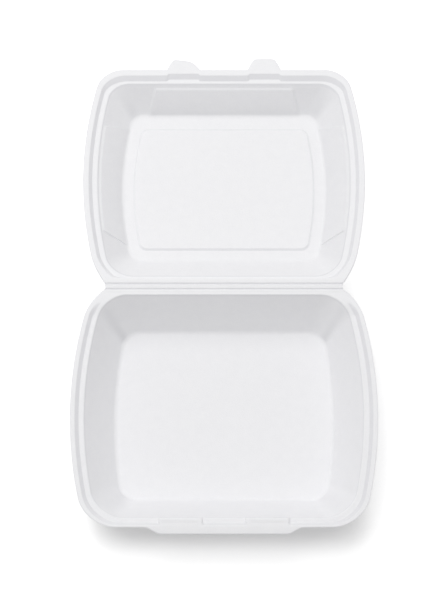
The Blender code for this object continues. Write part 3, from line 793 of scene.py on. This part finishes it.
def lid_outlines():
    """The lid's outlines and its floor panel's, pinned to the ends of the raised panels."""
    outer, mouth, foot = half_outlines(LID_HALF_WIDTH, LID_LENGTH, LID_SIDE_BOW, LID_RADII, LID_RIM,
                                       LID_MOUTH_RADII, LID_WALL, LID_FLOOR_BOW, LID_FLOOR_RADIUS)
    raised = (FLOOR_PANEL_BACK, FLOOR_PANEL_FRONT)
    panel = Outline(FLOOR_PANEL_HALF_WIDTH, FLOOR_PANEL_BOW, raised, *raised,
                    FLOOR_PANEL_RADIUS, FLOOR_PANEL_RADIUS)
    outer.pin(SIDE_PANEL_BACK, SIDE_PANEL_FRONT)
    mouth.pin(SIDE_PANEL_BACK, SIDE_PANEL_FRONT)
    foot.pin(SIDE_PANEL_FOOT_BACK, SIDE_PANEL_FOOT_FRONT, FRONT_PANEL_HALF_LENGTH,
             FRONT_PANEL_FOOT_HALF_LENGTH)
    panel.front_knots = (FRONT_PANEL_HALF_LENGTH, FRONT_PANEL_LINE_HALF_LENGTH)
    return outer, mouth, foot, panel


def jogged(loop, grid, ramp):
    """A rim line shifted outwards under each tab."""
    away = np.abs(np.abs(loop[:, 0]) - TAB_CENTRE)
    shift = TAB_JOG * (1 - smooth_step(away, TAB_HALF_ROOT - ramp, TAB_HALF_ROOT))
    shift = np.where(grid.at_front(), shift, 0)
    return loop + np.stack([0 * shift, shift], axis=-1)


def wall_panel_mask(grid, mouth, edge, soft):
    """1 at the points whose wall carries a raised panel, fading over edge and soft more."""
    x, d = np.abs(mouth[:, 0]), mouth[:, 1]
    front = 1 - smooth_step(x, FRONT_PANEL_HALF_LENGTH - soft,
                            FRONT_PANEL_HALF_LENGTH + edge + soft)
    side = (smooth_step(d, SIDE_PANEL_BACK - edge - soft, SIDE_PANEL_BACK + soft)
            * (1 - smooth_step(d, SIDE_PANEL_FRONT - soft, SIDE_PANEL_FRONT + edge + soft)))
    return np.where(grid.at_front(), front, np.where(grid.at_side(), side, 0))


def lid_rings(grid, loops, sizes, soft):
    """The lid's upper control rings from the plain edge to the raised floor panel.

    soft lengthens the ramps of the jogs and panels, as the sheet's underside shows them.
    """
    outer, mouth, foot, panel = loops
    lines = rim_lines(grid, outer, mouth, LID_RIM_SHARES)
    lines[1:] = [jogged(line, grid, JOG_RAMP + soft) for line in lines[1:]]
    step = -sizes.lid_step
    top, low = lifted(mouth, step), lifted(foot, -LID_DEPTH)
    rings = [lifted(lines[0], 0), lifted(lines[1], 0), lifted(lines[2], step), top]
    to_front = grid.zones()[2][:, None]
    rise = mix(sizes.panel_rise, sizes.front_panel_rise, to_front)
    rise = rise * wall_panel_mask(grid, mouth, sizes.panel_edge, soft)[:, None]
    along = np.roll(top, -1, axis=0) - np.roll(top, 1, axis=0)
    out = np.cross(along, low - top)
    out /= np.linalg.norm(out, axis=1, keepdims=True)
    for k, shares in enumerate(zip(SIDE_PANEL_SHARES, FRONT_PANEL_SHARES)):
        rings.append(mix(top, low, mix(*shares, to_front)) + (out * rise if k else 0))
    rings += [low, lifted(panel, -LID_DEPTH),
              lifted(inset(panel, sizes.floor_panel_edge), sizes.floor_panel_rise - LID_DEPTH)]
    return rings


def with_tabs(grid, loop):
    """The lid's edge moved out to the two tabs, the left one cut at a slant."""
    place = (np.abs(loop[:, 0]) - TAB_CENTRE) / TAB_HALF_ROOT
    on_tab = grid.at_front() & (np.abs(place) <= 1)
    place = np.clip(place, -1, 1)
    side = np.sign(loop[:, 0])
    reach = np.where(side > 0, TAB_REACH, LEFT_TAB_REACH + LEFT_TAB_SLANT * place)
    squareness = np.where((side < 0) & (place < 0), LEFT_TAB_SQUARENESS, TAB_SQUARENESS)
    share = 1 - np.abs(place) ** squareness
    half_width = mix(TAB_HALF_ROOT, TAB_HALF_TIP, share)
    x = np.where(on_tab, side * (TAB_CENTRE + half_width * place), loop[:, 0])
    d = loop[:, 1] + np.where(on_tab, reach * share, 0)
    return np.stack([x, d], axis=-1)


def build_lid(sizes):
    outer_line, mouth_line, foot_line, panel_line = lid_outlines()
    grid = lid_grid(sizes, mouth_line)
    rim_end = mouth_line.front_end
    loops = (outer_line.loop(grid), mouth_line.loop(grid), foot_line.loop(grid, rim_end),
             panel_line.loop(grid, rim_end))
    top = lid_rings(grid, loops, sizes, 0)
    under = underside(lid_rings(grid, loops, sizes, PANEL_RAMP_BELOW))
    top, under = with_edge(grid, top, under, with_tabs(grid, loops[0]), 0, LID_MOUTH_RING)
    edge, rim, mouth_cut = line_cuts(grid, sizes)
    wall_cuts = [edge, None, rim, rim, mouth_cut, PANEL_CUT, PANEL_CUT, None, None]
    top_cuts, under_cuts = ([*wall_cuts, (fillet, FOOT_RINGS), PANEL_CUT, PANEL_CUT] for fillet in
                            (sizes.lid_fillet, sizes.lid_fillet + FILLET_GAIN * SHEET))
    place = (Matrix.Translation(LID_CREASE) @ Matrix.Rotation(-2 * STRIP_DROOP, 4, "X")
             @ Matrix.Translation((0, 0, SHEET - AXIS_HEIGHT)))
    # Painted shade on the lid's walls, darkest on the front one, and more in its front corners
    wall = by_zone(grid, LID_WALL_SHADE)
    corner = wall + LID_CORNER_SHADE * grid.corner_peak(2)
    plain = [0 * wall]
    wall_shade = [*plain * (LID_MOUTH_RING + 1), wall, wall, mix(wall, corner, LID_PANEL_SHADE), corner,
             corner, *plain * 2]
    # Painted shade: darker lines on the outer edge, the risers, the lip and the floor panel's edge
    marks = (OUTER_EDGE_SHADE * grid.free_edge(), by_zone(grid, LID_RISER_SHADE), LID_LIP_SHADE,
             by_zone(grid, FLOOR_PANEL_LINE_SHADE), wall_shade)
    shell = shell_mesh("lid_shell", top, under, top_cuts, under_cuts, place, LID_MOUTH_RING,
                       marks, (sizes.lid_step, LID_DEPTH))
    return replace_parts(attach(shell, "lid"), "lid")


def fold_section():
    """The fold's section: distance past the crease, upper and lower height above its axis."""
    past = np.linspace(-1, 1, FOLD_SECTION_POINTS) * FOLD_REACH
    valley = np.exp(-(past / GROOVE_HALF_WIDTH) ** 2 * GROOVE_SHARPNESS)
    top = SHEET - AXIS_HEIGHT - GROOVE_DEPTH * valley
    notch = NOTCH_SHARE * GROOVE_DEPTH * np.exp(-(past / GROOVE_HALF_WIDTH) ** 2 * NOTCH_SHARPNESS)
    return past, top, notch - AXIS_HEIGHT


def fold_stations():
    """Where the fold's sections stand along it, their thickness, and how far the ends draw in."""
    turns = np.linspace(0, pi / 2, FOLD_END_POINTS)
    ends = [(1 - FOLD_END_THINNING * (1 - sin(turn)), (1 - cos(turn)) * FOLD_END_ROUND)
            for turn in turns]
    between = np.linspace(-1, 1, FOLD_LENGTH_POINTS)[1:-1]
    return ([(-1, *end) for end in ends] + [(x, 1, FOLD_END_ROUND) for x in between]
            + [(1, *end) for end in ends[::-1]])


def build_fold(name, crease, start_turn, end_turn, strip_side, outline):
    """A soft fold over one crease, from the half's flange to the middle of the strip."""
    past, top, low = fold_section()
    span = CREASE_PITCH / 2
    past = np.where(past * strip_side > 0, past * span / FOLD_REACH, past)
    top = top - STRIP_DROP * smooth_step(past * strip_side, 0, span)
    turn = mix(start_turn, end_turn, smooth_step(past, past[0], past[-1]))
    width = fold_half_width(past, strip_side, outline)
    # Painted shade: a darker line along the crease's groove
    crease_shade_line = CREASE_SHADE * np.exp(-(past / GROOVE_HALF_WIDTH) ** 2 * CREASE_MARK_SHARPNESS)
    middle = (top + low) / 2
    stations = fold_stations()
    points, line_shade = [], []
    for x, thick, back in stations:
        along = x * (width - back)
        line_shade += [*crease_shade_line, *(0 * crease_shade_line)]
        upper = list(zip(past, mix(middle, top, thick), turn, along))
        lower = list(zip(past, mix(middle, low, thick), turn, along))
        points += [(w, crease.y + e * cos(a) - h * sin(a), crease.z + e * sin(a) + h * cos(a))
                   for e, h, a, w in upper + lower[::-1]]
    faces = tube_faces(len(stations), 2 * len(past), {})
    obj = mesh_object(name, points, faces, np.array(line_shade), np.zeros(len(points)))
    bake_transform(obj)
    return obj


def fold_half_width(past, strip_side, outline):
    """Half the fold's width past the crease: the half's outline, then the strip's."""
    d = np.maximum(-past * strip_side, 0)
    reach = outline.back + outline.back_radius - d
    angle = np.arccos(np.clip(reach / outline.back_radius, -1, 1))
    x = outline.straight - outline.back_radius * (1 - np.sin(angle))
    edge = outline.bowed(x, d)[:, 0]
    return mix(edge, STRIP_HALF_WIDTH, smooth_step(past * strip_side, *NECK_TO_STRIP))


def fill(tree, node, values):
    """Give each named socket of a node a value or an output."""
    for socket, value in values.items():
        if isinstance(value, bpy.types.NodeSocket):
            tree.links.new(value, node.inputs[socket])
        else:
            node.inputs[socket].default_value = value


def add_node(tree, kind, values=None, **settings):
    """A new node with its settings, and its sockets filled with the values."""
    node = tree.nodes.new(kind)
    for name, setting in settings.items():
        setattr(node, name, setting)
    fill(tree, node, values or {})
    return node


def math_node(tree, operation, *values):
    """The result of one operation on the values or outputs given."""
    values = dict(enumerate(values))
    return add_node(tree, "ShaderNodeMath", values, operation=operation).outputs[0]


def vector_node(tree, operation, *values):
    """The same for vectors."""
    values = dict(enumerate(values))
    node = add_node(tree, "ShaderNodeVectorMath", values, operation=operation)
    return node.outputs["Value" if operation == "LENGTH" else "Vector"]


def mixed_color(tree, factor, first, second, blend_type="MIX"):
    return add_node(tree, "ShaderNodeMix", {"Factor": factor, "A": first, "B": second},
                    data_type="RGBA", blend_type=blend_type).outputs["Result"]


def foam_group():
    """Foam skin: cell grain, faint mottling and slow waves, from one place on the surface."""
    group = bpy.data.node_groups.new("foam_skin", "ShaderNodeTree")
    for kind, names in (("Color", ("Skin", "Cells", "Wall Shade", "Line Shade")),
                        ("Float", ("Cells Per Metre", "Roughness", "Grain Depth", "Wave Depth"))):
        for name in names:
            group.interface.new_socket(name=name, in_out="INPUT", socket_type="NodeSocket" + kind)
    for name, kind in (("Color", "Color"), ("Roughness", "Float"), ("Height", "Float")):
        group.interface.new_socket(name=name, in_out="OUTPUT", socket_type="NodeSocket" + kind)
    given = group.nodes.new("NodeGroupInput").outputs
    place = add_node(group, "ShaderNodeTexCoord").outputs["Object"]
    cells = add_node(group, "ShaderNodeTexVoronoi",
                     {"Vector": place, "Scale": given["Cells Per Metre"]}, feature="F1")
    dome = add_node(group, "ShaderNodeMapRange",
                    {"Value": cells.outputs["Distance"], "From Min": CELL_DOME[0],
                     "From Max": CELL_DOME[1], "To Min": 1, "To Max": 0}).outputs["Result"]
    patches, waves = (add_node(group, "ShaderNodeTexNoise",
                               {"Vector": place, "Scale": scale, "Detail": detail}).outputs["Fac"]
                      for scale, detail in (PATCHES, WAVES))

    tone = math_node(group, "MULTIPLY", patches, PATCH_SHADE)
    shade = math_node(group, "MULTIPLY_ADD", dome, CELL_SHADE, tone)
    marked = mixed_color(group, shade, given["Cells"], given["Skin"])
    # Painted shade: the two tints darken walls, corners and lines where light falls off
    for mark, tint in (("wall_shade", "Wall Shade"), ("line_shade", "Line Shade")):
        share = add_node(group, "ShaderNodeAttribute", attribute_name=mark).outputs["Fac"]
        marked = mixed_color(group, share, marked, given[tint], "MULTIPLY")
    swell = math_node(group, "MULTIPLY_ADD", waves, given["Wave Depth"],
                      math_node(group, "MULTIPLY", dome, given["Grain Depth"]))
    uneven = math_node(group, "MULTIPLY_ADD", patches, PATCH_ROUGHNESS, given["Roughness"])
    add_node(group, "NodeGroupOutput", {"Color": marked, "Roughness": uneven, "Height": swell})
    return group


def foam_material():
    """White foam: a smooth skin over fine cells that lets a little light in."""
    if "white_foam_skin" in bpy.data.materials:
        return bpy.data.materials["white_foam_skin"]
    finish = bpy.context.scene.foam_box_finish
    material = bpy.data.materials.new("white_foam_skin")
    material.use_nodes = True
    tree = material.node_tree
    skin = add_node(tree, "ShaderNodeGroup",
                    {"Skin": (*finish.foam_color, 1), "Cells": (*finish.cell_color, 1),
                     "Wall Shade": (*finish.wall_shade_tint, 1), "Line Shade": (*finish.line_shade_tint, 1),
                     "Cells Per Metre": 1 / finish.cell_size, "Roughness": finish.roughness,
                     "Grain Depth": finish.grain_depth, "Wave Depth": finish.wave_depth},
                    node_tree=foam_group()).outputs
    bump = add_node(tree, "ShaderNodeBump",
                    {"Height": skin["Height"], "Distance": 1, "Strength": 1})
    fill(tree, tree.nodes["Principled BSDF"],
         {"Base Color": skin["Color"], "Roughness": skin["Roughness"], "Normal": bump.outputs[0],
          "IOR": 1.45, "Specular IOR Level": 0.35, "Subsurface Weight": 0.12,
          "Subsurface Radius": (1.0, 1.0, 1.0), "Subsurface Scale": 0.0012})
    return material


def floor_material(color):
    """A floor that throws the colour given on the foam and itself shows as white with a shadow."""
    material = bpy.data.materials.new("pale_floor")
    material.use_nodes = True
    tree = material.node_tree
    tree.nodes.clear()
    thrown, shown = (add_node(tree, "ShaderNodeBsdfDiffuse", {"Color": (*tone, 1)}).outputs[0]
                     for tone in (color, (1, 1, 1)))
    glow = add_node(tree, "ShaderNodeEmission", {"Strength": floor_glow(tree)}).outputs[0]
    shown = add_node(tree, "ShaderNodeAddShader", {0: shown, 1: glow}).outputs[0]
    add_output(tree, "ShaderNodeOutputMaterial", thrown, shown)
    return material


def floor_glow(tree):
    """Painted light: the floor's emission, which starts at the tray's foot and grows away from it.
    """
    place = add_node(tree, "ShaderNodeTexCoord").outputs["Object"]
    moved = add_node(tree, "ShaderNodeMapping",
                     {"Vector": place, "Location": SHADOW_CENTRE,
                      "Scale": (SHADOW_HALF_WIDTH, SHADOW_HALF_LENGTH, 1)}, vector_type="TEXTURE")
    square = vector_node(tree, "MULTIPLY", moved.outputs[0], moved.outputs[0])
    fourth = vector_node(tree, "MULTIPLY", square, square)
    away = math_node(tree, "SQRT", math_node(tree, "SQRT", vector_node(tree, "LENGTH", fourth)))
    parts = [add_node(tree, "ShaderNodeMapRange",
                      {"Value": away, "From Min": start, "From Max": end, "To Max": strength},
                      interpolation_type="SMOOTHSTEP").outputs["Result"]
             for start, end, strength in FLOOR_GLOWS]
    return math_node(tree, "ADD", *parts)


def add_output(tree, kind, unseen, seen):
    """The tree's output: seen for rays from the camera, a reflection or through glass."""
    path = add_node(tree, "ShaderNodeLightPath").outputs
    share = math_node(tree, "MAXIMUM", path["Is Camera Ray"], path["Is Glossy Ray"])
    share = math_node(tree, "MAXIMUM", share, path["Is Transmission Ray"])
    both = add_node(tree, "ShaderNodeMixShader", {0: share, 1: unseen, 2: seen}).outputs[0]
    add_node(tree, kind, {"Surface": both})


def build_world():
    """White behind everything, and a soft even light from all round."""
    world = bpy.data.worlds.new("studio")
    bpy.context.scene.world = world
    world.use_nodes = True
    tree = world.node_tree
    tree.nodes.clear()
    soft = add_node(tree, "ShaderNodeBackground", {"Strength": AMBIENT}).outputs[0]
    white = add_node(tree, "ShaderNodeBackground", {"Color": (1, 1, 1, 1)}).outputs[0]
    add_output(tree, "ShaderNodeOutputWorld", soft, white)


def area_lamp(name, place, power):
    lamp = bpy.data.lights.new(name, "AREA")
    lamp.size = LAMP_SIZE
    lamp.energy = power
    obj = add_object(name, lamp)
    obj.location = place
    aim = Vector(LAMP_TARGET) - Vector(place)
    obj.rotation_euler = aim.to_track_quat("-Z", "Y").to_euler()


def build_camera():
    data = bpy.data.cameras.new("camera")
    camera = add_object("camera", data)
    data.sensor_width = SENSOR_WIDTH_MM
    data.lens = data.sensor_width * CAMERA_FOCAL_PX / PHOTO_HEIGHT_PX
    hinge = (TRAY_CREASE.y + LID_CREASE.y) / 2
    target = Vector((0, hinge - CAMERA_TARGET_BEFORE_HINGE, FLANGE_HEIGHT))
    away = Vector((0, -cos(CAMERA_ELEVATION), sin(CAMERA_ELEVATION)))
    camera.location = target + away * CAMERA_DISTANCE
    camera.rotation_euler = (-away).to_track_quat("-Z", "Y").to_euler()
    bpy.context.scene.camera = camera


class FOAMBOX_OT_tray(Operator):
    """Build the tray's fine shell with its rim, tongue and slits"""

    bl_idname = "foambox.tray"
    bl_label = "Tray Shell"

    def execute(self, context):
        build_tray(context.scene.foam_box_sizes)
        return {"FINISHED"}


class FOAMBOX_OT_lid(Operator):
    """Build the lid's fine shell with its rim, tabs and raised panels"""

    bl_idname = "foambox.lid"
    bl_label = "Lid Shell"

    def execute(self, context):
        build_lid(context.scene.foam_box_sizes)
        return {"FINISHED"}


class FOAMBOX_OT_folds(Operator):
    """Build the two soft folds that join the halves over the strip"""

    bl_idname = "foambox.folds"
    bl_label = "Folds"

    def execute(self, context):
        tray = build_fold("fold_at_tray", TRAY_CREASE, 0, -STRIP_DROOP, 1, tray_outlines()[0])
        build_fold("fold_at_lid", LID_CREASE, -STRIP_DROOP, -2 * STRIP_DROOP, -1,
                   lid_outlines()[0])
        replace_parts(tray, "hinge_strip")
        return {"FINISHED"}


class FOAMBOX_OT_stage(Operator):
    """Build the floor, the studio light and the camera"""

    bl_idname = "foambox.stage"
    bl_label = "Stage"

    def execute(self, context):
        half = FLOOR_SIZE / 2
        corners = [(-half, -half, 0), (half, -half, 0), (half, half, 0), (-half, half, 0)]
        data = bpy.data.meshes.new("floor")
        data.from_pydata(corners, [], [(0, 1, 2, 3)])
        data.materials.append(floor_material(context.scene.foam_box_finish.floor_color))
        floor = add_object("floor", data)
        build_world()
        for name, place, power in LAMPS:
            area_lamp(name, place, power)
        build_camera()
        context.scene.view_settings.view_transform = "Standard"
        return {"FINISHED"}


class FOAMBOX_PT_sidebar(Panel):
    """Lists the container's settings and its building steps"""

    bl_label = "Foam Box"
    bl_idname = "FOAMBOX_PT_sidebar"
    bl_space_type = "VIEW_3D"
    bl_region_type = "UI"
    bl_category = "Foam Box"

    def draw(self, context):
        for group in (context.scene.foam_box_sizes, context.scene.foam_box_finish):
            column = self.layout.column(align=True)
            for name in group.__annotations__:
                column.prop(group, name)
        for operator in OPERATORS:
            self.layout.operator(operator.bl_idname)


OPERATORS = (FOAMBOX_OT_tray, FOAMBOX_OT_lid, FOAMBOX_OT_folds, FOAMBOX_OT_stage)
CLASSES = (FoamBoxSizes, FoamBoxFinish, *OPERATORS, FOAMBOX_PT_sidebar)


def register():
    for cls in CLASSES:
        bpy.utils.register_class(cls)
    bpy.types.Scene.foam_box_sizes = PointerProperty(type=FoamBoxSizes)
    bpy.types.Scene.foam_box_finish = PointerProperty(type=FoamBoxFinish)


def unregister():
    del bpy.types.Scene.foam_box_sizes
    del bpy.types.Scene.foam_box_finish
    for cls in reversed(CLASSES):
        bpy.utils.unregister_class(cls)


def main():
    register()
    bpy.ops.foambox.tray()
    bpy.ops.foambox.lid()
    bpy.ops.foambox.folds()
    bpy.ops.foambox.stage()


if __name__ == "__main__":
    main()
